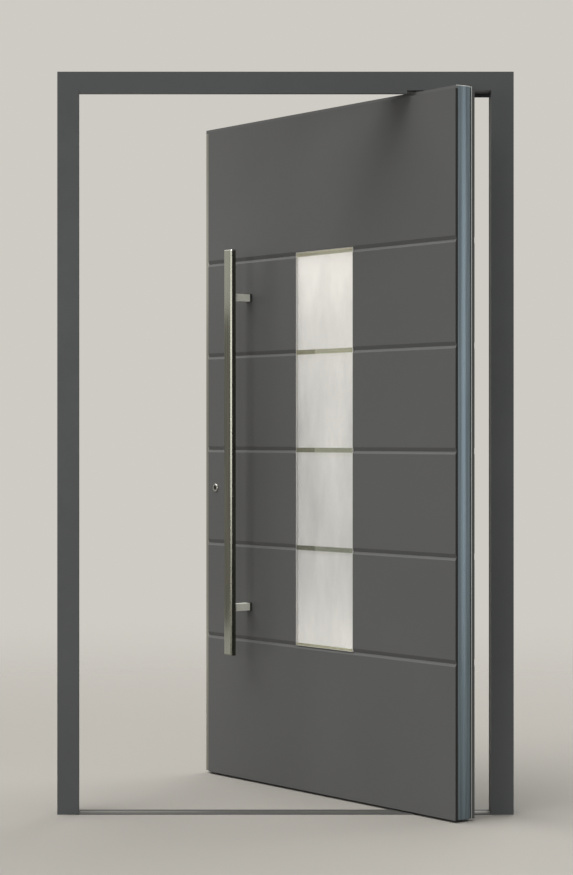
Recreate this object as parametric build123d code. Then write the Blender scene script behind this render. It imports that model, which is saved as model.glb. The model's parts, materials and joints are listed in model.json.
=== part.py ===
"""Pivot entry door: a dark aluminium leaf on an offset floor and head pivot, in its frame.

X runs along the doorway, towards the pivot jamb. Y runs into the building and Z is up.
The origin is the middle of the threshold's underside. Lengths are in millimetres.
Every leaf piece is modelled with the door shut, then turned to the open rest position.
"""

import os

from build123d import *

# Frame
FRAME_WIDTH = 1500.0
FRAME_HEIGHT = 2442.0
FRAME_DEPTH = 85.0
LOCK_JAMB_FACE = 72.0
PIVOT_JAMB_FACE = 74.0
HEAD_FACE = 72.0
THRESHOLD_HEIGHT = 3.0
THRESHOLD_RAMP = 1.5
THRESHOLD_STRIP_WIDTH = 20.0
THRESHOLD_STRIP_HEIGHT = 1.0
THRESHOLD_STRIP_Y = -3.0

# Shallow recess along the thermal break of the jambs, and the small chamfer on bare edges
BREAK_WIDTH = 24.0
BREAK_RECESS = 0.8
EDGE_BREAK = 1.2

# Clearances between the leaf and the frame
STOP_GAP = 5.0
FACE_GAP = 6.0
LOCK_EDGE_GAP = 7.0
PIVOT_EDGE_GAP = 11.0
TOP_GAP = 5.5
BOTTOM_GAP = 5.0
STOP_END_GAP = 2.0

# Leaf
LEAF_THICKNESS = 85.0
PANEL_THICKNESS = 12.0
SKIN = 2.0
LOCK_FLANGE = 30.0
TOP_FLANGE = 12.0
STOP_LAP_TOP = 5.0
LOCK_STILE_WIDTH = 100.0
PIVOT_STILE_WIDTH = 80.0
STILE_ROUND = 2.5
RAIL_HEIGHT = 80.0
PIVOT_OFFSET = 228.0
REST_OPENING = 51.6

# Bowed face of the bare profile on the pivot edge
BOW_STEP = 3.5
BOW_START = 18.0
BOW_WIDTH = 38.0
BOW_CREST = 0.42
BOW_FALL = 2.0
EDGE_GROOVE_WIDTH = 2.5
EDGE_GROOVE_DEPTH = 6.0

# Pressed grooves across both faces
GROOVE_COUNT = 5
GROOVE_UPPER_FLANK = 13.0
GROOVE_LOWER_FLANK = 9.0
GROOVE_DEPTH = 4.5

# Window, with a clear strip in line with each groove
WINDOW_WIDTH = 308.0
WINDOW_SILL = 504.0
WINDOW_DROP = 476.0
PANE = 6.0
PANE_JOINT = 0.5
LINER = 6.0
SPACER_WIDTH = 5.0
SATIN_FILM = 0.4
CLEAR_STRIP = 16.0
LOWEST_STRIP_SHOWS = 9.0

# Pull bar
BAR_INSET = 248.0
BAR_WIDTH = 44.0
BAR_DEPTH = 21.0
BAR_LENGTH = 1450.0
BAR_MIDDLE_Z = 1186.0
BAR_CHAMFER = 4.0
STANDOFF = 26.0
STANDOFF_LENGTH = 77.0
STANDOFF_INSET = 170.0
WASHER = 29.0
WASHER_THICKNESS = 6.0

# Lock
CYLINDER_BACKSET = 77.0
CYLINDER_Z = 1055.0
CYLINDER_RADIUS = 8.5
CYLINDER_SUNK = 1.5
KEYWAY_WIDTH = 2.4
KEYWAY_HEIGHT = 9.0
KEYWAY_DEPTH = 8.0
ROSETTE_RADIUS = 14.0
ROSETTE_HEIGHT = 4.0
ROSETTE_CHAMFER = 1.2
HOLE_PLAY = 0.1
LEVER_ABOVE_CYLINDER = 92.0
LEVER_ROSE_RADIUS = 26.0
LEVER_ROSE_HEIGHT = 8.0
LEVER_RADIUS = 9.0
LEVER_REACH = 52.0
LEVER_SUNK = 8.0
LEVER_LENGTH = 128.0
LEVER_BEND = 17.0
LEVER_END_CHAMFER = 1.5
FACEPLATE_WIDTH = 20.0
FACEPLATE_THICKNESS = 3.0
FACEPLATE_LENGTH = 1700.0
FACEPLATE_CORNER = 9.5
BOLT_THICKNESS = 8.0
BOLT_HEIGHT = 30.0
BOLT_LENGTH = 18.0
BOLT_SUNK = 0.5
BOLT_TO_FACEPLATE_END = 150.0
KEEP_PLAY = 2.0
KEEP_DEPTH = 20.0
STRIKE_LENGTH = 120.0

# Pivots
SPINDLE_RADIUS = 8.0
SPINDLE_PLAY = 0.05
SPINDLE_LENGTH = 30.0
SPINDLE_END_PLAY = 0.5
BUSH_RADIUS = 15.0
BUSH_CAP = 5.0
PIVOT_PLATE_LENGTH = 120.0
PIVOT_PLATE_WIDTH = 34.0
PIVOT_PLATE_CORNER = 6.0
TOP_BLOCK_HEIGHT = 20.0
THRUST_RADIUS = 13.0
THRUST_PLAY = 0.3

# Seals
SEAL_WIDTH = 8.0
SEAL_DEPTH = 4.0
PIVOT_SEAL_Y = 20.0
SEAL_END_GAP = 10.0

# Fixing holes through the jambs
FIXING_RADIUS = 5.25
FIXING_Y = 0.0
FIXING_SPREADS = (1940.0, 720.0)

# How far a cutting tool runs past the faces that it goes through
OVERRUN = 1.0

# Planes and edges of the frame
front = -FRAME_DEPTH / 2
back = FRAME_DEPTH / 2
left = -FRAME_WIDTH / 2
right = FRAME_WIDTH / 2
lock_opening = left + LOCK_JAMB_FACE
pivot_opening = right - PIVOT_JAMB_FACE
head_edge = FRAME_HEIGHT - HEAD_FACE

# Planes and edges of the leaf
leaf_front = -LEAF_THICKNESS / 2
leaf_back = LEAF_THICKNESS / 2
core_front = leaf_front + PANEL_THICKNESS
core_back = leaf_back - PANEL_THICKNESS
skin_lock_edge = lock_opening + FACE_GAP
leaf_pivot_edge = pivot_opening - PIVOT_EDGE_GAP
core_lock_edge = skin_lock_edge - LOCK_FLANGE
lock_stile_end = core_lock_edge + LOCK_STILE_WIDTH
pivot_stile_start = leaf_pivot_edge - PIVOT_STILE_WIDTH
leaf_bottom = THRESHOLD_HEIGHT + BOTTOM_GAP
core_top = head_edge + STOP_LAP_TOP
skin_top = core_top - TOP_FLANGE
pivot_x = leaf_pivot_edge - PIVOT_OFFSET
through_leaf = (leaf_front - OVERRUN, leaf_back + OVERRUN)

# Rebates and stops that the leaf shuts against
lock_rebate = core_lock_edge - LOCK_EDGE_GAP
head_rebate = core_top + TOP_GAP
outer_stop_back = core_front - STOP_GAP
inner_stop_front = core_back + STOP_GAP
stop_end = -core_front + STOP_GAP + STOP_END_GAP

# Window and grooves
window_left = -WINDOW_WIDTH / 2
window_right = WINDOW_WIDTH / 2
window_bottom = leaf_bottom + WINDOW_SILL
window_top = skin_top - WINDOW_DROP
highest_strip = window_top - CLEAR_STRIP / 2
lowest_strip = window_bottom + LOWEST_STRIP_SHOWS - CLEAR_STRIP / 2
strip_pitch = (highest_strip - lowest_strip) / (GROOVE_COUNT - 1)
strip_middles = [lowest_strip + strip_pitch * index for index in range(GROOVE_COUNT)]
groove_rise = (GROOVE_UPPER_FLANK - GROOVE_LOWER_FLANK) / 2
groove_valleys = [middle - groove_rise for middle in strip_middles]

# Lock and pull bar
cylinder_x = core_lock_edge + CYLINDER_BACKSET
lever_z = CYLINDER_Z + LEVER_ABOVE_CYLINDER
lever_seat = core_back - LEVER_SUNK
bar_x = skin_lock_edge + BAR_INSET
bolt_spread = FACEPLATE_LENGTH / 2 - BOLT_TO_FACEPLATE_END
bolt_heights = [CYLINDER_Z - bolt_spread, CYLINDER_Z, CYLINDER_Z + bolt_spread]


def block(x_range, y_range, z_range):
    """A box between two values on each axis."""
    ranges = (x_range, y_range, z_range)
    middle = [(low + high) / 2 for low, high in ranges]
    return Pos(*middle) * Box(*[high - low for low, high in ranges])


def about(middle, width):
    """The range of that width about a middle."""
    return (middle - width / 2, middle + width / 2)


def rod_along_y(x, z, radius, y_range):
    """A round bar along Y."""
    low, high = y_range
    return Pos(x, (low + high) / 2, z) * Rot(90, 0, 0) * Cylinder(radius, high - low)


def rod_along_x(y, z, radius, x_range):
    """A round bar along X."""
    low, high = x_range
    return Pos((low + high) / 2, y, z) * Rot(0, 90, 0) * Cylinder(radius, high - low)


def rod_along_z(x, y, radius, z_range):
    """A round bar along Z."""
    low, high = z_range
    return Pos(x, y, (low + high) / 2) * Cylinder(radius, high - low)


def upright_prism(section, z_range):
    """A section in X and Y, run up from one height to another."""
    low, high = z_range
    return extrude(Plane.XY.offset(low) * section, high - low, dir=(0, 0, 1))


def fixing_holes(x_range):
    """The frame-fixing holes of one jamb."""
    holes = []
    for spread in FIXING_SPREADS:
        for z in about(FRAME_HEIGHT / 2, spread):
            holes.append(rod_along_x(FIXING_Y, z, FIXING_RADIUS, x_range))
    return holes


def pivot_plate(z_range):
    """The round-cornered plate of a pivot."""
    plate = block(about(pivot_x, PIVOT_PLATE_LENGTH), about(0, PIVOT_PLATE_WIDTH), z_range)
    return fillet(plate.edges().filter_by(Axis.Z), PIVOT_PLATE_CORNER)


def lock_jamb():
    """The jamb on the lock side, with its strikes, its stop and the stop's seal."""
    jamb = block((left, lock_rebate), (front, back), (0, FRAME_HEIGHT))
    jamb -= block((lock_rebate - BREAK_RECESS, lock_rebate), about(0, BREAK_WIDTH), (0, head_rebate))
    jamb -= fixing_holes((left - OVERRUN, lock_rebate + OVERRUN))
    strikes = []
    strike_face = lock_rebate - BREAK_RECESS
    for z in bolt_heights:
        strike = block(
            (strike_face - FACEPLATE_THICKNESS, strike_face), about(0, FACEPLATE_WIDTH), about(z, STRIKE_LENGTH)
        )
        keep = block(
            (strike_face - KEEP_DEPTH, strike_face),
            about(0, BOLT_THICKNESS + KEEP_PLAY),
            about(z, BOLT_HEIGHT + 2 * KEEP_PLAY),
        )
        jamb = jamb - strike - keep
        strikes.append(strike - keep)

    stop_z = (THRESHOLD_HEIGHT, head_rebate)
    stop = block((lock_rebate, lock_opening), (front, outer_stop_back), stop_z)
    stop = chamfer(stop.edges().filter_by(Axis.Z).sort_by(Axis.X)[-2:], EDGE_BREAK)
    seal_x = (core_lock_edge + lock_opening) / 2
    seal = block(about(seal_x, SEAL_WIDTH), (outer_stop_back - SEAL_DEPTH, outer_stop_back), stop_z)
    return {
        "lock_jamb": jamb,
        "strike_plates": Compound(strikes),
        "lock_jamb_stop": stop - seal,
        "lock_jamb_seal": seal,
    }


def pivot_jamb():
    """The jamb on the pivot side: flat, with a seal let into its inner part."""
    jamb = block((pivot_opening, right), (front, back), (0, FRAME_HEIGHT))
    jamb -= block((pivot_opening, pivot_opening + BREAK_RECESS), about(0, BREAK_WIDTH), (0, head_edge))
    jamb -= fixing_holes((pivot_opening - OVERRUN, right + OVERRUN))
    seal_x = (pivot_opening, pivot_opening + SEAL_DEPTH)
    seal = block(seal_x, about(PIVOT_SEAL_Y, SEAL_WIDTH), (THRESHOLD_HEIGHT, head_edge))
    return {"pivot_jamb": jamb - seal, "pivot_jamb_seal": seal}


def head():
    """The head, with a brush seal and a stop each side of the top pivot, and the pivot itself."""
    profile = block((lock_rebate, pivot_opening), (front, back), (head_rebate, FRAME_HEIGHT))
    top_block = pivot_plate((head_rebate, head_rebate + TOP_BLOCK_HEIGHT))
    near_end, far_end = about(pivot_x, PIVOT_PLATE_LENGTH + 2 * SEAL_END_GAP)
    seal_z = (head_rebate, head_rebate + SEAL_DEPTH)
    seals = [
        block((lock_opening, near_end), about(0, SEAL_WIDTH), seal_z),
        block((far_end, pivot_opening), about(0, SEAL_WIDTH), seal_z),
    ]
    outer_stop = block((lock_opening, pivot_x - stop_end), (front, outer_stop_back), (head_edge, head_rebate))
    inner_stop = block((pivot_x + stop_end, pivot_opening), (inner_stop_front, back), (head_edge, head_rebate))
    spindle = rod_along_z(pivot_x, 0, SPINDLE_RADIUS, (core_top - SPINDLE_LENGTH, head_rebate))
    return {
        "head": profile - seals - top_block,
        "head_seals": Compound(seals),
        "head_outer_stop": outer_stop,
        "head_inner_stop": inner_stop,
        "top_pivot": top_block + spindle,
    }


def threshold():
    """The flush threshold with its bright strip, and the floor pivot set into it."""
    plate = block((lock_rebate, pivot_opening), (front, back), (0, THRESHOLD_HEIGHT))
    long_top_edges = plate.edges().filter_by(Axis.X).group_by(Axis.Z)[-1]
    plate = chamfer(long_top_edges, THRESHOLD_RAMP)
    pocket = pivot_plate((0, THRESHOLD_HEIGHT))
    strip_y = about(THRESHOLD_STRIP_Y, THRESHOLD_STRIP_WIDTH)
    strip_z = (THRESHOLD_HEIGHT - THRESHOLD_STRIP_HEIGHT, THRESHOLD_HEIGHT)
    near_end, far_end = about(pivot_x, PIVOT_PLATE_LENGTH)
    strips = [
        block((lock_opening, near_end), strip_y, strip_z),
        block((far_end, pivot_opening), strip_y, strip_z),
    ]
    thrust = rod_along_z(pivot_x, 0, THRUST_RADIUS, (THRESHOLD_HEIGHT, leaf_bottom - THRUST_PLAY))
    spindle = rod_along_z(pivot_x, 0, SPINDLE_RADIUS, (THRESHOLD_HEIGHT, leaf_bottom + SPINDLE_LENGTH))
    return {
        "threshold": plate - pocket - strips,
        "threshold_strips": Compound(strips),
        "floor_pivot": pocket + thrust + spindle,
    }


def lock_bore(y_range):
    """The bore of the lock cylinder."""
    return rod_along_y(cylinder_x, CYLINDER_Z, CYLINDER_RADIUS + HOLE_PLAY, y_range)


def lever_bore(y_range):
    """The bore of the lever's neck."""
    return rod_along_y(cylinder_x, lever_z, LEVER_RADIUS + HOLE_PLAY, y_range)


def lock_stile():
    """The lock stile, with the faceplate and the bolts let into its edge."""
    stile = block((core_lock_edge, lock_stile_end), (core_front, core_back), (leaf_bottom, core_top))
    edge_corners = stile.edges().filter_by(Axis.Z).sort_by(Axis.X)[:2]
    stile = fillet(edge_corners, STILE_ROUND)
    faceplate = block(
        (core_lock_edge, core_lock_edge + FACEPLATE_THICKNESS),
        about(0, FACEPLATE_WIDTH),
        about(CYLINDER_Z, FACEPLATE_LENGTH),
    )
    faceplate = fillet(faceplate.edges().filter_by(Axis.X), FACEPLATE_CORNER)
    bolts = []
    for z in bolt_heights:
        bolt_x = (core_lock_edge + BOLT_SUNK, core_lock_edge + BOLT_LENGTH)
        bolts.append(block(bolt_x, about(0, BOLT_THICKNESS), about(z, BOLT_HEIGHT)))
    bores = lock_bore((core_front, core_back)) + lever_bore((lever_seat, core_back))
    return {
        "lock_stile": stile - faceplate - bolts - bores,
        "lock_faceplate": faceplate - [bolt_slot(z) for z in bolt_heights],
        "lock_bolts": Compound(bolts),
    }


def bolt_slot(z):
    """The slot of one bolt through the faceplate."""
    slot_x = (core_lock_edge, core_lock_edge + FACEPLATE_THICKNESS)
    return block(slot_x, about(0, BOLT_THICKNESS), about(z, BOLT_HEIGHT))


def pivot_stile_section():
    """The section of the pivot stile. Its edge has a flat step, a bowed face, a groove and a narrow lip."""
    bow_low = core_front + BOW_START
    bow_high = bow_low + BOW_WIDTH
    groove_high = bow_high + EDGE_GROOVE_WIDTH
    step_x = leaf_pivot_edge - BOW_STEP
    groove_x = leaf_pivot_edge - EDGE_GROOVE_DEPTH
    bow_start = (step_x, bow_low)
    bow_end = (leaf_pivot_edge - BOW_FALL, bow_high)
    bow = ThreePointArc(bow_start, (leaf_pivot_edge, bow_low + BOW_WIDTH * BOW_CREST), bow_end)
    lip = Polyline(
        bow_end,
        (groove_x, bow_high),
        (groove_x, groove_high),
        (leaf_pivot_edge, groove_high),
        (leaf_pivot_edge, core_back),
        (pivot_stile_start, core_back),
        (pivot_stile_start, core_front),
        (step_x, core_front),
        bow_start,
    )
    return make_face(bow + lip)


def pivot_stile():
    """The pivot stile, whose bare edge shows when the leaf stands open."""
    return {"pivot_stile": upright_prism(pivot_stile_section(), (leaf_bottom, core_top))}


def rails():
    """The leaf's rails, and the bushes in them that turn on the spindles."""
    core = (core_front, core_back)
    rail_x = (lock_stile_end, pivot_stile_start)
    bottom_rail = block(rail_x, core, (leaf_bottom, leaf_bottom + RAIL_HEIGHT))
    top_rail = block(rail_x, core, (core_top - RAIL_HEIGHT, core_top))
    bore_depth = SPINDLE_LENGTH + SPINDLE_END_PLAY
    bush_depth = bore_depth + BUSH_CAP
    bore = SPINDLE_RADIUS + SPINDLE_PLAY
    bottom_bush = rod_along_z(pivot_x, 0, BUSH_RADIUS, (leaf_bottom, leaf_bottom + bush_depth))
    top_bush = rod_along_z(pivot_x, 0, BUSH_RADIUS, (core_top - bush_depth, core_top))
    return {
        "bottom_rail": bottom_rail - bottom_bush,
        "top_rail": top_rail - top_bush,
        "bottom_bush": bottom_bush - rod_along_z(pivot_x, 0, bore, (leaf_bottom, leaf_bottom + bore_depth)),
        "top_bush": top_bush - rod_along_z(pivot_x, 0, bore, (core_top - bore_depth, core_top)),
    }


def insulation():
    """The insulating core between the stiles, in four pieces round the window."""
    core = (core_front, core_back)
    low = leaf_bottom + RAIL_HEIGHT
    high = core_top - RAIL_HEIGHT
    lined = (window_left - LINER, window_right + LINER)
    return {
        "core_lock_side": block((lock_stile_end, lined[0]), core, (low, high)),
        "core_pivot_side": block((lined[1], pivot_stile_start), core, (low, high)),
        "core_above_window": block(lined, core, (window_top + LINER, high)),
        "core_below_window": block(lined, core, (low, window_bottom - LINER)),
    }


def grooved_line(y, inward):
    """The section of a pressed face: straight up, with a V at each groove."""
    points = [(y, leaf_bottom)]
    for valley in groove_valleys:
        points.append((y, valley - GROOVE_LOWER_FLANK))
        points.append((y + inward * GROOVE_DEPTH, valley))
        points.append((y, valley + GROOVE_UPPER_FLANK))
    points.append((y, skin_top))
    return points


def straight_line(y):
    """The section of a flat face."""
    return [(y, leaf_bottom), (y, skin_top)]


def panel_between(near_line, far_line):
    """A sheet or board of the leaf's face, run between two section lines, with its window cut out."""
    section = Polygon(*near_line, *reversed(far_line), align=None)
    panel = extrude(Plane.YZ.offset(skin_lock_edge) * section, leaf_pivot_edge - skin_lock_edge, dir=(1, 0, 0))
    return panel - block((window_left, window_right), through_leaf, (window_bottom, window_top))


def edge_cut(x, y, x_side, y_side):
    """A thin three-cornered bar that breaks a sheet's long upright edge."""
    corner = Polygon((x, y), (x - x_side * EDGE_BREAK, y), (x, y - y_side * EDGE_BREAK), align=None)
    return upright_prism(corner, (leaf_bottom, skin_top))


def leaf_faces():
    """The pressed sheets of both faces, and the dark boards behind them."""
    outer_sheet = panel_between(grooved_line(leaf_front, 1), grooved_line(leaf_front + SKIN, 1))
    outer_sheet -= edge_cut(leaf_pivot_edge, leaf_front, 1, -1)
    outer_sheet -= edge_cut(skin_lock_edge, leaf_front, -1, -1)
    inner_sheet = panel_between(grooved_line(leaf_back, -1), grooved_line(leaf_back - SKIN, -1))
    inner_sheet -= edge_cut(skin_lock_edge, leaf_back, -1, 1)

    # The inner sheet is folded round the pivot edge, so its board stops short of the fold
    board_z = (leaf_bottom, skin_top)
    fold = block((leaf_pivot_edge - SKIN, leaf_pivot_edge), (core_back, leaf_back), board_z)
    fold -= edge_cut(leaf_pivot_edge, leaf_back, 1, 1)
    outer_board = panel_between(grooved_line(leaf_front + SKIN, 1), straight_line(core_front))
    inner_board = panel_between(grooved_line(leaf_back - SKIN, -1), straight_line(core_back))
    return {
        "outer_skin": outer_sheet - lock_bore(through_leaf),
        "outer_board": outer_board - lock_bore(through_leaf),
        "inner_skin": inner_sheet + fold - lock_bore(through_leaf) - lever_bore(through_leaf),
        "inner_board": inner_board - fold - lock_bore(through_leaf) - lever_bore(through_leaf),
    }


def window():
    """The glazing: two panes flush with the faces, a spacer, a liner and the frosted bands."""
    pane_x = (window_left + PANE_JOINT, window_right - PANE_JOINT)
    pane_z = (window_bottom + PANE_JOINT, window_top - PANE_JOINT)
    cavity = (leaf_front + PANE, leaf_back - PANE)
    film_back = cavity[0] + SATIN_FILM
    clear_x = (pane_x[0] + SPACER_WIDTH, pane_x[1] - SPACER_WIDTH)
    clear_z = (pane_z[0] + SPACER_WIDTH, pane_z[1] - SPACER_WIDTH)

    # Liner in the core's opening, and the spacer that holds the panes apart
    lined_x = (window_left - LINER, window_right + LINER)
    lined_z = (window_bottom - LINER, window_top + LINER)
    liner = block(lined_x, (core_front, core_back), lined_z)
    liner -= block((window_left, window_right), through_leaf, (window_bottom, window_top))
    spacer = block(pane_x, (film_back, cavity[1]), pane_z) - block(clear_x, through_leaf, clear_z)

    # Frosted film on the outer pane, in bands between the clear strips
    bands = []
    for lower, upper in zip(strip_middles, strip_middles[1:]):
        band_z = (lower + CLEAR_STRIP / 2, upper - CLEAR_STRIP / 2)
        bands.append(block(pane_x, (cavity[0], film_back), band_z))
    return {
        "outer_pane": block(pane_x, (leaf_front, leaf_front + PANE), pane_z),
        "inner_pane": block(pane_x, (leaf_back - PANE, leaf_back), pane_z),
        "window_liner": liner,
        "glass_spacer": spacer,
        "satin_bands": Compound(bands),
    }


def pull_bar():
    """The long chamfered bar, its two standoffs and the dark washers under them."""
    bar_back = leaf_front - STANDOFF_LENGTH
    bar = block(about(bar_x, BAR_WIDTH), (bar_back - BAR_DEPTH, bar_back), about(BAR_MIDDLE_Z, BAR_LENGTH))
    bar = chamfer(bar.faces().sort_by(Axis.Y)[0].edges(), BAR_CHAMFER)
    washer_front = leaf_front - WASHER_THICKNESS
    heights = about(BAR_MIDDLE_Z, BAR_LENGTH - 2 * STANDOFF_INSET)
    standoffs = [block(about(bar_x, STANDOFF), (bar_back, washer_front), about(z, STANDOFF)) for z in heights]
    washers = [block(about(bar_x, WASHER), (washer_front, leaf_front), about(z, WASHER)) for z in heights]
    return {
        "pull_bar": bar,
        "lower_standoff": standoffs[0],
        "upper_standoff": standoffs[1],
        "standoff_washers": Compound(washers),
    }


def rosette(radius, y_face, side, height, bore):
    """A round rosette on one face of the leaf, with a chamfered rim and a bore for what it frames."""
    y_range = sorted((y_face, y_face + side * height))
    body, z = bore
    disc = rod_along_y(cylinder_x, z, radius, y_range)
    rim = disc.edges().filter_by(GeomType.CIRCLE).sort_by(Axis.Y)[0 if side < 0 else -1]
    return chamfer(rim, ROSETTE_CHAMFER) - body(y_range)


def lock_furniture():
    """The lock cylinder with a rosette on each face, and the lever on its rose inside."""
    cylinder_proud = ROSETTE_HEIGHT - CYLINDER_SUNK
    cylinder_y = (leaf_front - cylinder_proud, leaf_back + cylinder_proud)
    cylinder = rod_along_y(cylinder_x, CYLINDER_Z, CYLINDER_RADIUS, cylinder_y)
    for face_y in cylinder_y:
        keyway_y = about(face_y, 2 * KEYWAY_DEPTH)
        cylinder -= block(about(cylinder_x, KEYWAY_WIDTH), keyway_y, about(CYLINDER_Z, KEYWAY_HEIGHT))

    lever_path = FilletPolyline(
        (cylinder_x, lever_seat, lever_z),
        (cylinder_x, leaf_back + LEVER_REACH - LEVER_RADIUS, lever_z),
        (cylinder_x + LEVER_LENGTH, leaf_back + LEVER_REACH - LEVER_RADIUS, lever_z),
        radius=LEVER_BEND,
    )
    lever_section = Plane(origin=lever_path @ 0, z_dir=lever_path % 0) * Circle(LEVER_RADIUS)
    lever = sweep(lever_section, path=lever_path)
    grip_end = lever.faces().sort_by(Axis.X)[-1]
    lever = chamfer(grip_end.edges(), LEVER_END_CHAMFER)
    cylinder_bore = (lock_bore, CYLINDER_Z)
    neck_bore = (lever_bore, lever_z)
    return {
        "lock_cylinder": cylinder,
        "outer_rosette": rosette(ROSETTE_RADIUS, leaf_front, -1, ROSETTE_HEIGHT, cylinder_bore),
        "inner_rosette": rosette(ROSETTE_RADIUS, leaf_back, 1, ROSETTE_HEIGHT, cylinder_bore),
        "lever_rose": rosette(LEVER_ROSE_RADIUS, leaf_back, 1, LEVER_ROSE_HEIGHT, neck_bore),
        "inside_lever": lever,
    }


def opened(piece):
    """A leaf piece, turned about the pivot from shut to the rest position."""
    return Pos(pivot_x, 0, 0) * Rot(0, 0, -REST_OPENING) * Pos(-pivot_x, 0, 0) * piece


os.makedirs("parts", exist_ok=True)

nodes = {}
for group in (lock_jamb(), pivot_jamb(), head(), threshold()):
    nodes.update(group)
for group in (
    lock_stile(), pivot_stile(), rails(), insulation(), leaf_faces(), window(), pull_bar(), lock_furniture()
):
    for name, piece in group.items():
        nodes[name] = opened(piece)

for name, piece in nodes.items():
    export_step(piece, f"parts/{name}.step")

print(len(nodes), "nodes; pivot axis at x", round(pivot_x, 3))
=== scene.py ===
"""Looks of the pivot entry door: materials, small fittings, stage, light and camera.

Everything is in metres. X runs along the doorway, Y into the building and Z up.
Pieces on the leaf are built with the door shut, then turned to the open rest position.
"""

import json
import math

import bmesh
import bpy
from mathutils import Matrix, Vector


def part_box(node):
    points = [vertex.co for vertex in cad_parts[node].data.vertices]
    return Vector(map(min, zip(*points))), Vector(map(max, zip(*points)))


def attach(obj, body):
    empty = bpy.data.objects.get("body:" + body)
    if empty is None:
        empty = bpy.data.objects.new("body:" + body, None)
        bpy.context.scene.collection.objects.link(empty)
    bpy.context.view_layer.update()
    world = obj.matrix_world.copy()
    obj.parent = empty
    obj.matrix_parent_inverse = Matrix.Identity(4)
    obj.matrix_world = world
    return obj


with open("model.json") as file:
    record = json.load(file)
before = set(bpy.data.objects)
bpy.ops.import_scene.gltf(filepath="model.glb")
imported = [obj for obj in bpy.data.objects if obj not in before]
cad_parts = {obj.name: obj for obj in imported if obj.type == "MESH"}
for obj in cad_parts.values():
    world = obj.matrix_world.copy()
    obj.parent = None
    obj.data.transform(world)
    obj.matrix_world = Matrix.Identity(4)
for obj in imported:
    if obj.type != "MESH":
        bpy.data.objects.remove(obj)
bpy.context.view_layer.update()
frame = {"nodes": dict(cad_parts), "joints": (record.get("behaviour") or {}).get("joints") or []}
nodes = frame["nodes"]
swing = frame["joints"][0]
pivot = Vector(swing["pos_m"])
opening = math.radians(-swing["range_deg"][0])
leaf_turn = Matrix.Translation(pivot) @ Matrix.Rotation(-opening, 4, "Z") @ Matrix.Translation(-pivot)
leaf_shut = leaf_turn.inverted()

MM = 0.001


# Places read from the frame

STOREY_GAP = 50 * MM
BAR_BEVEL = 4 * MM
HEIGHT_DIGITS = 5


def shut_points(name):
    """The corners of a leaf node's mesh, with the door shut."""
    return [leaf_shut @ vertex.co for vertex in nodes[name].data.vertices]


def shut_range(name, axis):
    """The lowest and highest value of a leaf node along one axis, with the door shut."""
    values = [point[axis] for point in shut_points(name)]
    return min(values), max(values)


def storeys(values):
    """Sorted heights, split wherever a gap lies between them: one (low, high) for each solid of a node."""
    ordered = sorted(values)
    gaps = [i for i in range(1, len(ordered)) if ordered[i] - ordered[i - 1] > STOREY_GAP]
    breaks = [0] + gaps + [len(ordered)]
    return [(ordered[start], ordered[end - 1]) for start, end in zip(breaks, breaks[1:])]


skin_top = shut_range("outer_skin", 2)[1]
core_top = shut_range("pivot_stile", 2)[1]
core_front, core_back = shut_range("pivot_stile", 1)
leaf_pivot_edge = shut_range("pivot_stile", 0)[1]
bar_bevel_z = shut_range("pull_bar", 2)[1] - BAR_BEVEL
window_z = shut_range("outer_pane", 2)

# The satin bands have corners at their ends alone, so the heights come in pairs, foot and top
satin_ends = sorted({round(point.z, HEIGHT_DIGITS) for point in shut_points("satin_bands")})
strip_feet = [window_z[0]] + satin_ends[1::2]
strip_tops = satin_ends[0::2] + [window_z[1]]
clear_strips = list(zip(strip_feet, strip_tops))


# Shader helpers

# Grain of a pattern: along Z, along X, or the same all round
UPRIGHT = (1, 1, 0.012)
ACROSS = (0.012, 1, 1)
EVEN = (1, 1, 1)


def linear(red, green, blue):
    """A colour given as 0-255 sRGB values, in the linear values that shaders take."""
    channels = []
    for value in (red, green, blue):
        share = value / 255
        channels.append(share / 12.92 if share <= 0.04045 else ((share + 0.055) / 1.055) ** 2.4)
    return (*channels, 1.0)


def new_material(name, **sockets):
    """A material with one Principled shader, its constant values set on the shader's own sockets."""
    material = bpy.data.materials.new(name)
    material.use_nodes = True
    shader = material.node_tree.nodes["Principled BSDF"]
    for socket, value in sockets.items():
        shader.inputs[socket.replace("_", " ")].default_value = value
    return material, shader


def feed(tree, socket, value):
    """Links a socket to another one, or sets it to a constant."""
    if isinstance(value, bpy.types.NodeSocket):
        tree.links.new(value, socket)
    else:
        socket.default_value = value


def maths(tree, operation, first, second):
    """One operation on two values, each a socket or a number."""
    node = tree.nodes.new("ShaderNodeMath")
    node.operation = operation
    for socket, value in zip(node.inputs, (first, second)):
        feed(tree, socket, value)
    return node.outputs["Value"]


def mixed(tree, kind, factor, first, second):
    """A mix of two values or colours, each a socket or a constant."""
    node = tree.nodes.new("ShaderNodeMix")
    node.data_type = kind
    sockets = [socket for socket in node.inputs if socket.enabled]
    for socket, value in zip(sockets, (factor, first, second)):
        feed(tree, socket, value)
    return next(socket for socket in node.outputs if socket.enabled)


def noise(material, scale, stretch=EVEN, detail=3.0, roughness=0.5, place=None):
    """A noise pattern in the object's own coordinates or in a given place's, stretched along their axes."""
    tree = material.node_tree
    place = place or tree.nodes.new("ShaderNodeTexCoord").outputs["Object"]
    mapping = tree.nodes.new("ShaderNodeMapping")
    mapping.inputs["Scale"].default_value = stretch
    texture = tree.nodes.new("ShaderNodeTexNoise")
    texture.inputs["Scale"].default_value = scale
    texture.inputs["Detail"].default_value = detail
    texture.inputs["Roughness"].default_value = roughness
    tree.links.new(place, mapping.inputs["Vector"])
    tree.links.new(mapping.outputs["Vector"], texture.inputs["Vector"])
    return texture.outputs["Fac"]


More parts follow.
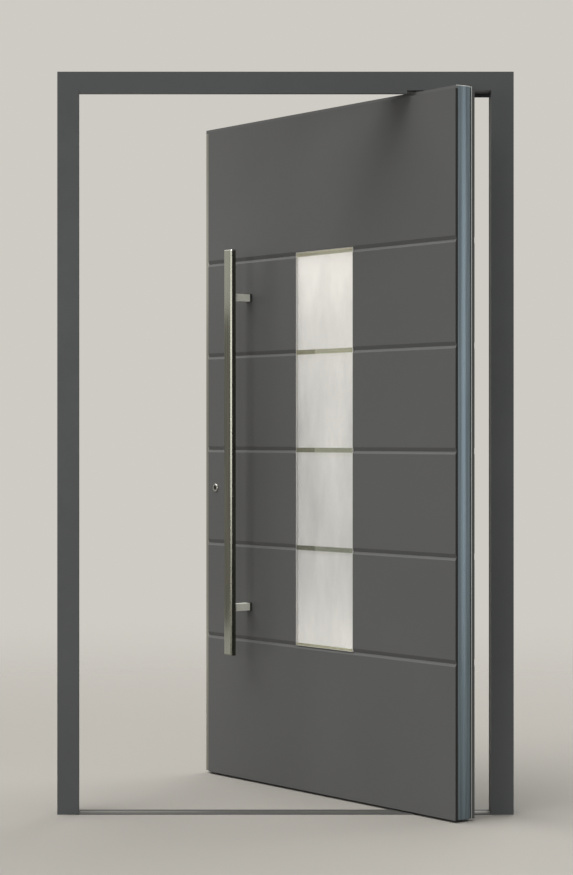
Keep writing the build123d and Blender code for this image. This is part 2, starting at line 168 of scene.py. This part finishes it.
def shut_vector(material):
    """The place of a leaf point with the door shut."""
    tree = material.node_tree
    place = tree.nodes.new("ShaderNodeTexCoord")
    mapping = tree.nodes.new("ShaderNodeMapping")
    mapping.inputs["Location"].default_value = leaf_shut.translation
    mapping.inputs["Rotation"].default_value = (0, 0, opening)
    tree.links.new(place.outputs["Object"], mapping.inputs["Vector"])
    return mapping.outputs["Vector"]


def shut_place(material):
    """The X, Y and Z of a leaf point with the door shut, as three sockets."""
    split = material.node_tree.nodes.new("ShaderNodeSeparateXYZ")
    material.node_tree.links.new(shut_vector(material), split.inputs["Vector"])
    return split.outputs["X"], split.outputs["Y"], split.outputs["Z"]


def ramp(material, factor, stops):
    """A colour ramp from (position, colour) pairs."""
    node = material.node_tree.nodes.new("ShaderNodeValToRGB")
    elements = node.color_ramp.elements
    for position, _ in stops[1:-1]:
        elements.new(position)
    for element, (position, colour) in zip(elements, stops):
        element.position = position
        element.color = colour
    material.node_tree.links.new(factor, node.inputs["Fac"])
    return node.outputs["Color"]


def span(material, value, from_range, to_range):
    """A value moved from one range to another, held at the ends."""
    node = material.node_tree.nodes.new("ShaderNodeMapRange")
    for socket, number in zip(("From Min", "From Max", "To Min", "To Max"), (*from_range, *to_range)):
        node.inputs[socket].default_value = number
    material.node_tree.links.new(value, node.inputs["Value"])
    return node.outputs["Result"]


# The middle stretch of a noise pattern, over which a tone and a roughness change
TONE_STRETCH = (0.35, 0.65)
SHEEN_STRETCH = (0.3, 0.7)


def two_tone(material, pattern, dark, light):
    """A colour that goes from dark to light with a pattern."""
    return ramp(material, pattern, list(zip(TONE_STRETCH, (dark, light))))


def sheen(material, pattern, roughness):
    """A roughness that goes from smooth to rough with a pattern."""
    return span(material, pattern, SHEEN_STRETCH, roughness)


def bump_from(material, shader, factor, strength, distance):
    """A fine bump, led by a pattern."""
    bump = material.node_tree.nodes.new("ShaderNodeBump")
    bump.inputs["Strength"].default_value = strength
    bump.inputs["Distance"].default_value = distance
    material.node_tree.links.new(factor, bump.inputs["Height"])
    material.node_tree.links.new(bump.outputs["Normal"], shader.inputs["Normal"])


def two_shaders(material, share, first, second):
    """Makes the surface a mix of two shaders. The share of the second is a socket or a number."""
    tree = material.node_tree
    mix = tree.nodes.new("ShaderNodeMixShader")
    feed(tree, mix.inputs["Fac"], share)
    tree.links.new(first.outputs["BSDF"], mix.inputs[1])
    tree.links.new(second.outputs["BSDF"], mix.inputs[2])
    tree.links.new(mix.outputs["Shader"], tree.nodes["Material Output"].inputs["Surface"])


# Kinds of material

# Powder coat: the scales of its drift, clouds and grain, and the grain's bump
COAT_DRIFT = 2.2
COAT_CLOUD = 35.0
COAT_GRAIN = 900.0
COAT_BUMP = 0.25
COAT_BUMP_DEPTH = 0.2 * MM

# Brushed and drawn metal: the scale of its lines, and their bump
BRUSH_LINES = 220.0
BRUSH_BUMP = 0.15
BRUSH_BUMP_DEPTH = 0.1 * MM

# Pivot edge: how far its pale rims reach down, across and inwards (a painted highlight along its top end, a
# paler tone on its inner lip), its sawn face, and the play of a mask
TOP_HIGHLIGHT_DEPTH = 2.5 * MM
RIM_REACH = 8 * MM
LIP_WIDTH = 2.7 * MM
SAWN_FACE = 0.3 * MM
FACE_MARGIN = 0.5 * MM
DULL_ROUGHNESS = 0.5
LEAF_PAINT = linear(80, 80, 79)
SAWN_END = linear(104, 105, 103)
RIM_TONE_AND_HIGHLIGHT = linear(188, 192, 190)

# Rubber, plastic and foam
MATT_SPECULAR = 0.35
MATT_BUMP = 0.3
MATT_BUMP_DEPTH = 0.2 * MM

# Clear glass: the share of light that it mirrors face on and edge on, and its slight waves
MIRRORED = (0.04, 1.0)
MIRROR_RISE = 5.0
WAVE_SCALE = 3.0
WAVE_BUMP = 0.02
WAVE_DEPTH = 0.5 * MM

# Satin glass: the light that passes, the painted light at shares of the window's height, and the etching
SATIN_THROUGH = 0.35
SATIN_PAINTED_LIGHT = [(0.04, 0.52), (0.2, 0.24), (0.42, 0.3), (0.7, 0.54), (0.82, 0.56), (0.97, 0.92)]
SATIN_SPECULAR = 0.3
SATIN_CLOUD = 9.0
SATIN_CLOUD_STRETCH = (1, 1, 0.3)
SATIN_CLOUD_SHARE = 0.5
SATIN_TONE_STRETCH = (0.25, 0.7)
SATIN_PATCH = 60.0
SATIN_ROUGHNESS = (0.55, 0.7)
ETCHING = 1500.0
ETCHING_BUMP = 0.2
ETCHING_DEPTH = 0.05 * MM


def powder_coat(name, dark, light, roughness, specular):
    """Fine-textured powder coat: a slow drift of tone, and a grain under a millimetre."""
    material, shader = new_material(name, Specular_IOR_Level=specular)
    links = material.node_tree.links
    drift = noise(material, COAT_DRIFT, detail=2.0)
    links.new(two_tone(material, drift, dark, light), shader.inputs["Base Color"])
    cloud = noise(material, COAT_CLOUD, detail=4.0)
    links.new(sheen(material, cloud, roughness), shader.inputs["Roughness"])
    grain = noise(material, COAT_GRAIN, detail=2.0)
    bump_from(material, shader, grain, COAT_BUMP, COAT_BUMP_DEPTH)
    return material


def brushed_metal(
    name, dark, light, roughness, grain=EVEN, scale=BRUSH_LINES, bump=BRUSH_BUMP, metallic=1.0,
    painted_highlight_above=None
):
    """Metal with fine lines along its grain. Above a height, given with a colour, it carries a painted
    highlight.
    """
    material, shader = new_material(name, Metallic=metallic)
    tree = material.node_tree
    lines = noise(material, scale, grain, detail=4.0, roughness=0.6)
    colour = two_tone(material, lines, dark, light)
    # Painted highlight: above the given height the colour turns to the given bright tone
    if painted_highlight_above:
        height, bright = painted_highlight_above
        above = maths(tree, "GREATER_THAN", shut_place(material)[2], height)
        colour = mixed(tree, "RGBA", above, colour, bright)
    tree.links.new(colour, shader.inputs["Base Color"])
    tree.links.new(sheen(material, lines, roughness), shader.inputs["Roughness"])
    bump_from(material, shader, lines, bump, BRUSH_BUMP_DEPTH)
    return material


def flanged_profile(name, dark, light, roughness, grain):
    """Bare drawn profile of the leaf.

    Its flange over the outer sheet is painted, its sawn top end is dull, and the pivot edge has pale rims: a
    painted highlight along its top end and a paler tone on its inner lip.
    """
    material, shader = new_material(name)
    tree = material.node_tree
    lines = noise(material, BRUSH_LINES, grain, detail=4.0, roughness=0.6, place=shut_vector(material))
    x, y, z = shut_place(material)
    over_sheet = maths(tree, "GREATER_THAN", z, skin_top - FACE_MARGIN)
    on_front = maths(tree, "LESS_THAN", y, core_front + FACE_MARGIN)
    painted = maths(tree, "MULTIPLY", over_sheet, on_front)
    # Pale rims at the pivot edge: along the top end a painted highlight, on the inner lip a paler tone
    at_edge = maths(tree, "GREATER_THAN", x, leaf_pivot_edge - RIM_REACH)
    at_end = maths(tree, "GREATER_THAN", z, core_top - TOP_HIGHLIGHT_DEPTH)
    on_lip = maths(tree, "GREATER_THAN", y, core_back - LIP_WIDTH)
    rim = maths(tree, "MULTIPLY", at_edge, maths(tree, "MAXIMUM", at_end, on_lip))
    sawn = maths(tree, "GREATER_THAN", z, core_top - SAWN_FACE)
    metal = mixed(tree, "RGBA", sawn, two_tone(material, lines, dark, light), SAWN_END)
    coated = mixed(tree, "RGBA", painted, metal, LEAF_PAINT)
    tree.links.new(mixed(tree, "RGBA", rim, coated, RIM_TONE_AND_HIGHLIGHT), shader.inputs["Base Color"])
    tree.links.new(maths(tree, "SUBTRACT", 1.0, painted), shader.inputs["Metallic"])
    dull = maths(tree, "MAXIMUM", painted, sawn)
    finish = mixed(tree, "FLOAT", dull, sheen(material, lines, roughness), DULL_ROUGHNESS)
    tree.links.new(finish, shader.inputs["Roughness"])
    bump_from(material, shader, lines, BRUSH_BUMP, BRUSH_BUMP_DEPTH)
    return material


def matt(name, dark, light, roughness, scale, bump=MATT_BUMP, depth=MATT_BUMP_DEPTH):
    """Rubber, plastic or foam: a mottled tone and a soft bump."""
    material, shader = new_material(name, Specular_IOR_Level=MATT_SPECULAR)
    links = material.node_tree.links
    pattern = noise(material, scale, detail=4.0)
    links.new(two_tone(material, pattern, dark, light), shader.inputs["Base Color"])
    links.new(sheen(material, pattern, roughness), shader.inputs["Roughness"])
    bump_from(material, shader, pattern, bump, depth)
    return material


def thin_glass(name, tint, strips=(), strip_painted_shade=()):
    """A flat pane: it tints what shows through it and mirrors more at a flat angle, and bends nothing.

    Strips are heights (low, high) with a tone of their own, which follows a ramp over the window's height:
    painted shade, standing in for what shows through them.
    """
    material, mirror = new_material(name, Base_Color=(1, 1, 1, 1), Metallic=1.0, Roughness=0.0)
    tree = material.node_tree
    edge_on = tree.nodes.new("ShaderNodeLayerWeight").outputs["Facing"]
    share = span(material, maths(tree, "POWER", edge_on, MIRROR_RISE), (0.0, 1.0), MIRRORED)
    bump_from(material, mirror, noise(material, WAVE_SCALE, detail=1.0), WAVE_BUMP, WAVE_DEPTH)
    clear = tree.nodes.new("ShaderNodeBsdfTransparent")
    clear.inputs["Color"].default_value = tint
    if strips:
        z = shut_place(material)[2]
        in_strip = 0.0
        for low, high in strips:
            above = maths(tree, "GREATER_THAN", z, low)
            below = maths(tree, "LESS_THAN", z, high)
            in_strip = maths(tree, "ADD", in_strip, maths(tree, "MULTIPLY", above, below))
        height = span(material, z, window_z, (0.0, 1.0))
        tone = mixed(tree, "RGBA", in_strip, tint, ramp(material, height, strip_painted_shade))
        tree.links.new(tone, clear.inputs["Color"])
    two_shaders(material, share, clear, mirror)
    return material


def satin_film(name, low_tone, high_tone):
    """Acid-etched glass: a pale, cloudy layer that lets soft light through, with painted light over the
    window's height that is paler at both ends.
    """
    material, shader = new_material(name, Specular_IOR_Level=SATIN_SPECULAR)
    tree = material.node_tree
    clouds = noise(material, SATIN_CLOUD, SATIN_CLOUD_STRETCH, detail=6.0, roughness=0.68)
    # Painted light: the tone follows the window's height, paler at both ends
    height = span(material, shut_place(material)[2], window_z, (0.0, 1.0))
    greys = [(place, (share, share, share, 1.0)) for place, share in SATIN_PAINTED_LIGHT]
    painted_light_by_height = ramp(material, height, greys)
    cloudy = mixed(tree, "FLOAT", SATIN_CLOUD_SHARE, painted_light_by_height, clouds)
    tone = ramp(material, cloudy, list(zip(SATIN_TONE_STRETCH, (low_tone, high_tone))))
    tree.links.new(tone, shader.inputs["Base Color"])
    patches = noise(material, SATIN_PATCH)
    tree.links.new(sheen(material, patches, SATIN_ROUGHNESS), shader.inputs["Roughness"])
    bump_from(material, shader, noise(material, ETCHING, detail=2.0), ETCHING_BUMP, ETCHING_DEPTH)
    through = tree.nodes.new("ShaderNodeBsdfTranslucent")
    tree.links.new(tone, through.inputs["Color"])
    two_shaders(material, SATIN_THROUGH, shader, through)
    return material


# The materials of the door

# Paint
frame_coat = powder_coat(
    "frame_powder_coat", linear(74, 76, 76), linear(79, 81, 81), (0.5, 0.62), specular=0.3
)
leaf_coat = powder_coat(
    "leaf_powder_coat", LEAF_PAINT, linear(82, 82, 81), (0.45, 0.5), specular=0.25
)

# Bare profiles
pivot_profile = flanged_profile(
    "pivot_edge_profile", linear(96, 108, 116), linear(114, 126, 133), (0.3, 0.42), UPRIGHT
)
lock_profile = flanged_profile(
    "lock_edge_profile", linear(144, 143, 135), linear(152, 151, 143), (0.3, 0.42), UPRIGHT
)
rail_profile = flanged_profile(
    "rail_profile", linear(108, 110, 107), linear(118, 120, 116), (0.5, 0.6), ACROSS
)
threshold_metal = brushed_metal(
    "threshold_dark", linear(42, 42, 40), linear(52, 52, 50), (0.6, 0.75), ACROSS, metallic=0.0
)
bright_strip = brushed_metal(
    "threshold_bright", linear(104, 103, 97), linear(124, 123, 116), (0.4, 0.55), ACROSS
)

# Handles, lock, pivots and screws
# The steel above the bar's top bevel is a painted highlight, near white along the bar's top edge
bar_steel = brushed_metal(
    "brushed_steel", linear(96, 96, 88), linear(120, 120, 110), (0.16, 0.26), UPRIGHT, bump=0.05,
    painted_highlight_above=(bar_bevel_z, linear(205, 205, 200))
)
standoff_steel = brushed_metal(
    "satin_standoff", linear(228, 229, 216), linear(242, 242, 230), (0.45, 0.6), scale=500.0, metallic=0.0
)
lock_steel = brushed_metal(
    "satin_steel", linear(158, 158, 153), linear(178, 178, 173), (0.25, 0.4), scale=700.0
)
# The lock cylinder is dark all over: painted shade standing in for its keyway
cylinder_painted_shade = brushed_metal(
    "cylinder_core", linear(56, 56, 55), linear(70, 70, 68), (0.35, 0.5), scale=900.0
)
pivot_steel = brushed_metal(
    "machined_steel", linear(120, 120, 116), linear(150, 150, 145), (0.3, 0.45), scale=900.0
)
screw_steel = brushed_metal(
    "screw_steel", linear(110, 111, 110), linear(140, 141, 139), (0.3, 0.45), scale=1200.0
)

# Rubber, board, foam and trim
rubber = matt("seal_rubber", linear(20, 20, 20), linear(32, 32, 31), (0.55, 0.75), scale=400.0)
board = matt("black_board", linear(14, 14, 14), linear(24, 24, 23), (0.6, 0.8), scale=250.0)
foam = matt(
    "rigid_foam", linear(196, 188, 160), linear(216, 208, 182), (0.8, 0.95), scale=600.0,
    bump=0.6, depth=0.6 * MM
)
liner = matt("liner_aluminium", linear(224, 222, 210), linear(234, 232, 221), (0.4, 0.55), scale=200.0)
sealant = matt("window_sealant", linear(226, 225, 220), linear(238, 237, 232), (0.5, 0.65), scale=300.0)

# Glass
# Clear strips of the outer glass: painted shade over the window's height, darkest a quarter of the way up
# and palest at the top
outer_glass = thin_glass("outer_glass", linear(253, 253, 252), clear_strips, [
    (0.0, linear(226, 225, 218)),
    (0.25, linear(202, 203, 198)),
    (0.75, linear(231, 230, 221)),
    (1.0, linear(252, 251, 246)),
])
inner_glass = thin_glass("inner_glass", linear(246, 249, 245))
satin_pane = satin_film("satin_glass", linear(206, 205, 205), linear(250, 248, 247))

looks = {
    frame_coat: ["lock_jamb", "lock_jamb_stop", "pivot_jamb", "head", "head_outer_stop", "head_inner_stop"],
    leaf_coat: ["outer_skin", "inner_skin"],
    pivot_profile: ["pivot_stile"],
    lock_profile: ["lock_stile"],
    rail_profile: ["top_rail", "bottom_rail"],
    threshold_metal: ["threshold"],
    bright_strip: ["threshold_strips"],
    bar_steel: ["pull_bar", "lever_rose", "inside_lever"],
    standoff_steel: ["lower_standoff", "upper_standoff"],
    lock_steel: ["outer_rosette", "inner_rosette", "lock_faceplate", "lock_bolts", "strike_plates"],
    cylinder_painted_shade: ["lock_cylinder"],
    pivot_steel: ["floor_pivot", "top_pivot", "bottom_bush", "top_bush"],
    rubber: ["lock_jamb_seal", "pivot_jamb_seal", "head_seals", "standoff_washers"],
    board: ["outer_board", "inner_board"],
    foam: ["core_lock_side", "core_pivot_side", "core_above_window", "core_below_window"],
    liner: ["window_liner", "glass_spacer"],
    outer_glass: ["outer_pane"],
    inner_glass: ["inner_pane"],
    satin_pane: ["satin_bands"],
}
for material, names in looks.items():
    for name in names:
        nodes[name].data.materials.clear()
        nodes[name].data.materials.append(material)


# Shapes of the small fittings

SEGMENTS = 24
HEXAGON_SIDES = 6

# Screw head: its height, its rim and socket as shares of its radius, and the levels as shares of its height
SCREW_PROUD = 0.6 * MM
SCREW_RIM = 0.86
SCREW_SOCKET = 0.42
SOCKET_LIP = 1.08
SHOULDER_LEVEL = 0.5
LIP_LEVEL = 0.85
SOCKET_FLOOR_LEVEL = 0.15


def circle(angle):
    """A circle's radius at any angle, for a radius of 1."""
    return 1.0


def hexagon(angle):
    """How far a hexagon's side lies from its middle at an angle, for an inner radius of 1."""
    side = 2 * math.pi / HEXAGON_SIDES
    return 1 / math.cos(angle % side - side / 2)


def ringed(mesh, rings, place):
    """A closed skin through rings round one axis: each a function of the angle, a radius and a height."""
    rows = []
    for outline, radius, height in rings:
        row = []
        for step in range(SEGMENTS):
            angle = 2 * math.pi * step / SEGMENTS
            reach = radius * outline(angle)
            point = Vector((reach * math.cos(angle), reach * math.sin(angle), height))
            row.append(mesh.verts.new(place @ point))
        rows.append(row)
    for low, high in zip(rows, rows[1:]):
        for step in range(SEGMENTS):
            after = (step + 1) % SEGMENTS
            mesh.faces.new((low[step], low[after], high[after], high[step]))
    mesh.faces.new(reversed(rows[0]))
    mesh.faces.new(rows[-1])


def screw_head(mesh, point, outward, radius):
    """A low round screw head with a hexagon socket, on a face."""
    socket = SCREW_SOCKET * radius
    rings = [
        (circle, radius, 0.0),
        (circle, radius, SHOULDER_LEVEL * SCREW_PROUD),
        (circle, SCREW_RIM * radius, SCREW_PROUD),
        (hexagon, SOCKET_LIP * socket, SCREW_PROUD),
        (hexagon, socket, LIP_LEVEL * SCREW_PROUD),
        (hexagon, socket, SOCKET_FLOOR_LEVEL * SCREW_PROUD),
    ]
    turn = Vector(outward).to_track_quat("Z", "X").to_matrix().to_4x4()
    ringed(mesh, rings, Matrix.Translation(point) @ turn)


def piece_from(mesh, name, body, material):
    """A named piece from a mesh, riding on its body. A leaf piece is turned to the open position."""
    data = bpy.data.meshes.new(name)
    if body == "leaf":
        bmesh.ops.transform(mesh, matrix=leaf_turn, verts=mesh.verts)
    bmesh.ops.recalc_face_normals(mesh, faces=mesh.faces)
    mesh.to_mesh(data)
    mesh.free()
    data.materials.append(material)
    piece = bpy.data.objects.new(name, data)
    bpy.context.scene.collection.objects.link(piece)
    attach(piece, body)


def screws(name, body, places, outward, radius):
    """A group of like screw heads on one body."""
    mesh = bmesh.new()
    for point in places:
        screw_head(mesh, Vector(point), outward, radius)
    piece_from(mesh, name, body, screw_steel)


def bar_between(mesh, low, high):
    """A plain straight strip between two corners."""
    corners = []
    for x in (low[0], high[0]):
        for y in (low[1], high[1]):
            corners.extend(mesh.verts.new((x, y, z)) for z in (low[2], high[2]))
    for side in ((0, 1, 3, 2), (4, 6, 7, 5), (0, 4, 5, 1), (2, 3, 7, 6), (0, 2, 6, 4), (1, 5, 7, 3)):
        mesh.faces.new([corners[index] for index in side])


def evenly(low, high, count):
    """Values spread evenly from one end to the other."""
    return [low + (high - low) * index / (count - 1) for index in range(count)]


# Screws: the radius of each kind, and their places on the plates

PLATE_SCREW = 3.6 * MM
FACEPLATE_SCREWS = 6
FACEPLATE_END = 25 * MM
STRIKE_SCREW_OFFSET = 45 * MM
PIVOT_SCREW_OFFSET = 46 * MM
PIVOT_SCREW = 4.5 * MM
GRUB_SCREW = 2.6 * MM
ROSE_SCREW = 1.7 * MM

faceplate_x = shut_range("lock_faceplate", 0)[0]
faceplate_z = shut_range("lock_faceplate", 2)
heights = evenly(faceplate_z[0] + FACEPLATE_END, faceplate_z[1] - FACEPLATE_END, FACEPLATE_SCREWS)
faceplate_places = [(faceplate_x, 0, z) for z in heights]
screws("faceplate_screws", "leaf", faceplate_places, (-1, 0, 0), PLATE_SCREW)

strike_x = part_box("strike_plates")[1][0]
strike_places = []
for low, high in storeys([vertex.co.z for vertex in nodes["strike_plates"].data.vertices]):
    for side in (-1, 1):
        strike_places.append((strike_x, 0, (low + high) / 2 + side * STRIKE_SCREW_OFFSET))
screws("strike_screws", "frame", strike_places, (1, 0, 0), PLATE_SCREW)

threshold_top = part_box("threshold")[1][2]
head_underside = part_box("head_outer_stop")[1][2]
pivot_screw_x = [pivot.x - PIVOT_SCREW_OFFSET, pivot.x + PIVOT_SCREW_OFFSET]
floor_places = [(x, 0, threshold_top) for x in pivot_screw_x]
top_places = [(x, 0, head_underside) for x in pivot_screw_x]
screws("floor_pivot_screws", "frame", floor_places, (0, 0, 1), PIVOT_SCREW)
screws("top_pivot_screws", "frame", top_places, (0, 0, -1), PIVOT_SCREW)


def foot_of(name):
    """The middle of a leaf node's underside, with the door shut."""
    middle = [sum(shut_range(name, axis)) / 2 for axis in (0, 1)]
    return (*middle, shut_range(name, 2)[0])


standoff_places = [foot_of("lower_standoff"), foot_of("upper_standoff")]
screws("standoff_grub_screws", "leaf", standoff_places, (0, 0, -1), GRUB_SCREW)
screws("rose_grub_screw", "leaf", [foot_of("lever_rose")], (0, 0, -1), ROSE_SCREW)


# A black lip of the drop-down seal under the leaf, on each side of the pivot bush

DROP_SEAL_WIDTH = 14 * MM
DROP_SEAL_PROUD = 2.5 * MM
DROP_SEAL_LET_IN = 1 * MM
DROP_SEAL_CLEAR = 1 * MM
DROP_SEAL_PIVOT_END = 6 * MM

leaf_foot = shut_range("bottom_rail", 2)[0]
lock_end = shut_range("lock_stile", 0)[0]
bush_x = shut_range("bottom_bush", 0)
lock_half = (lock_end + DROP_SEAL_CLEAR, bush_x[0] - DROP_SEAL_CLEAR)
pivot_half = (bush_x[1] + DROP_SEAL_CLEAR, leaf_pivot_edge - DROP_SEAL_PIVOT_END)
seal_mesh = bmesh.new()
for low_x, high_x in (lock_half, pivot_half):
    bar_between(
        seal_mesh,
        (low_x, -DROP_SEAL_WIDTH / 2, leaf_foot - DROP_SEAL_PROUD),
        (high_x, DROP_SEAL_WIDTH / 2, leaf_foot + DROP_SEAL_LET_IN),
    )
piece_from(seal_mesh, "drop_seal", "leaf", rubber)


# Sealant in the joint between each pane and its sheet

PANE_JOINT = 0.5 * MM
SEALANT_BELOW_FACE = 0.15 * MM
SEALANT_DEPTH = 5.9 * MM

for pane_name, sheet_name, outward in (("outer_pane", "outer_skin", -1), ("inner_pane", "inner_skin", 1)):
    pane_x = shut_range(pane_name, 0)
    pane_z = shut_range(pane_name, 2)
    face_y = shut_range(sheet_name, 1)[0 if outward < 0 else 1]
    y_low, y_high = sorted((face_y - outward * SEALANT_BELOW_FACE, face_y - outward * SEALANT_DEPTH))
    foot = pane_z[0] - PANE_JOINT
    top = pane_z[1] + PANE_JOINT
    bead_mesh = bmesh.new()
    for low_x, high_x in ((pane_x[0] - PANE_JOINT, pane_x[0]), (pane_x[1], pane_x[1] + PANE_JOINT)):
        bar_between(bead_mesh, (low_x, y_low, foot), (high_x, y_high, top))
    for low_z, high_z in ((foot, pane_z[0]), (pane_z[1], top)):
        bar_between(bead_mesh, (pane_x[0], y_low, low_z), (pane_x[1], y_high, high_z))
    piece_from(bead_mesh, pane_name + "_sealant", "leaf", sealant)


# Backdrop and floor

PALE = linear(206, 203, 196)
AMBIENT = linear(96, 97, 98)
FLOOR_SEEN = linear(130, 127, 121)
FLOOR_LIT = linear(90, 88, 84)
FLOOR_RADIUS = 9.0
FLOOR_SIDES = 96
FADE_FROM = 1.0
FADE_TO = 8.5


def seen_directly(tree):
    """1 where the camera, a mirror or clear glass looks, and 0 for light that only falls on things."""
    path = tree.nodes.new("ShaderNodeLightPath").outputs
    either = maths(tree, "MAXIMUM", path["Is Camera Ray"], path["Is Glossy Ray"])
    return maths(tree, "MAXIMUM", either, path["Is Transmission Ray"])


world = bpy.data.worlds.new("studio")
world.use_nodes = True
backdrop = world.node_tree.nodes["Background"]
world_colour = mixed(world.node_tree, "RGBA", seen_directly(world.node_tree), AMBIENT, PALE)
world.node_tree.links.new(world_colour, backdrop.inputs["Color"])
backdrop.inputs["Strength"].default_value = 1.0
bpy.context.scene.world = world

floor_mesh = bmesh.new()
bmesh.ops.create_circle(floor_mesh, cap_ends=True, segments=FLOOR_SIDES, radius=FLOOR_RADIUS)
floor_data = bpy.data.meshes.new("floor")
floor_mesh.to_mesh(floor_data)
floor_mesh.free()
floor = bpy.data.objects.new("floor", floor_data)
bpy.context.scene.collection.objects.link(floor)
floor_material, floor_shader = new_material("pale_floor", Roughness=0.8, Specular_IOR_Level=0.15)
tree = floor_material.node_tree
floor_colour = mixed(tree, "RGBA", seen_directly(tree), FLOOR_LIT, FLOOR_SEEN)
tree.links.new(floor_colour, floor_shader.inputs["Base Color"])

# The floor fades into the backdrop with its distance from the door
distance = tree.nodes.new("ShaderNodeVectorMath")
distance.operation = "LENGTH"
tree.links.new(tree.nodes.new("ShaderNodeTexCoord").outputs["Object"], distance.inputs[0])
fade = tree.nodes.new("ShaderNodeMapRange")
fade.interpolation_type = "SMOOTHERSTEP"
fade.inputs["From Min"].default_value = FADE_FROM
fade.inputs["From Max"].default_value = FADE_TO
fade.inputs["To Min"].default_value = 1.0
fade.inputs["To Max"].default_value = 0.0
tree.links.new(distance.outputs["Value"], fade.inputs["Value"])
tree.links.new(fade.outputs["Result"], floor_shader.inputs["Alpha"])
floor_data.materials.append(floor_material)


# Light

SKY_ANGLE = math.radians(60)
COOL_WHITE = (0.96, 0.98, 1.0)


def lamp(name, kind, place, target, power, colour=(1, 1, 1)):
    """A lamp that points at a target."""
    data = bpy.data.lights.new(name, kind)
    data.energy = power
    data.color = colour
    holder = bpy.data.objects.new(name, data)
    holder.location = place
    holder.rotation_euler = (Vector(target) - Vector(place)).to_track_quat("-Z", "Y").to_euler()
    bpy.context.scene.collection.objects.link(holder)
    return data


def sky(name, place, power):
    """A wide, soft light from far away, in the direction of a place."""
    lamp(name, "SUN", place, (0, 0, 0), power).angle = SKY_ANGLE


def soft_box(name, place, target, size, power, colour=(1, 1, 1)):
    """A rectangular soft box."""
    data = lamp(name, "AREA", place, target, power, colour)
    data.shape = "RECTANGLE"
    data.size, data.size_y = size


sky("left_sky", place=(-3.9, 0.2, 9.2), power=4.1)
sky("front_sky", place=(-1.6, -3.4, 9.27), power=1.5)
sky("back_sky", place=(5.6, 6.6, 5.0), power=2.2)
soft_box("key", place=(-2.2, -8.3, 1.8), target=(0, 0, 1.2), size=(2.0, 2.4), power=92.0)
soft_box("left", place=(-6.4, -4.8, 2.2), target=(0, 0, 1.1), size=(4.0, 3.2), power=150.0)
soft_box("side", place=(-1.36, 0.95, 2.0), target=(-0.2, 0.6, 1.9), size=(0.25, 0.5), power=0.6)
soft_box("low", place=(-1.3, 0.9, 0.36), target=(-0.2, 0.6, 0.5), size=(0.25, 0.2), power=0.2)
soft_box(
    "right", place=(4.6, -2.6, 1.6), target=(0.6, -0.2, 1.2), size=(1.2, 3.0), power=28.0, colour=COOL_WHITE
)


# Camera, at the photograph's viewing angle, with its shifts in pixels of the picture

PICTURE_HEIGHT = 875
SHIFT_RIGHT = 0.5
SHIFT_UP = -1.3
CAMERA_PLACE = (0.0017, -7.243, 1.244)

camera_data = bpy.data.cameras.new("camera")
camera_data.sensor_fit = "VERTICAL"
camera_data.sensor_height = 24.0
camera_data.lens = 60.1
camera_data.shift_x = SHIFT_RIGHT / PICTURE_HEIGHT
camera_data.shift_y = SHIFT_UP / PICTURE_HEIGHT
camera = bpy.data.objects.new("camera", camera_data)
camera.location = CAMERA_PLACE
camera.rotation_euler = (math.pi / 2, 0, 0)
bpy.context.scene.collection.objects.link(camera)
bpy.context.scene.camera = camera
bpy.context.scene.view_settings.view_transform = "Standard"
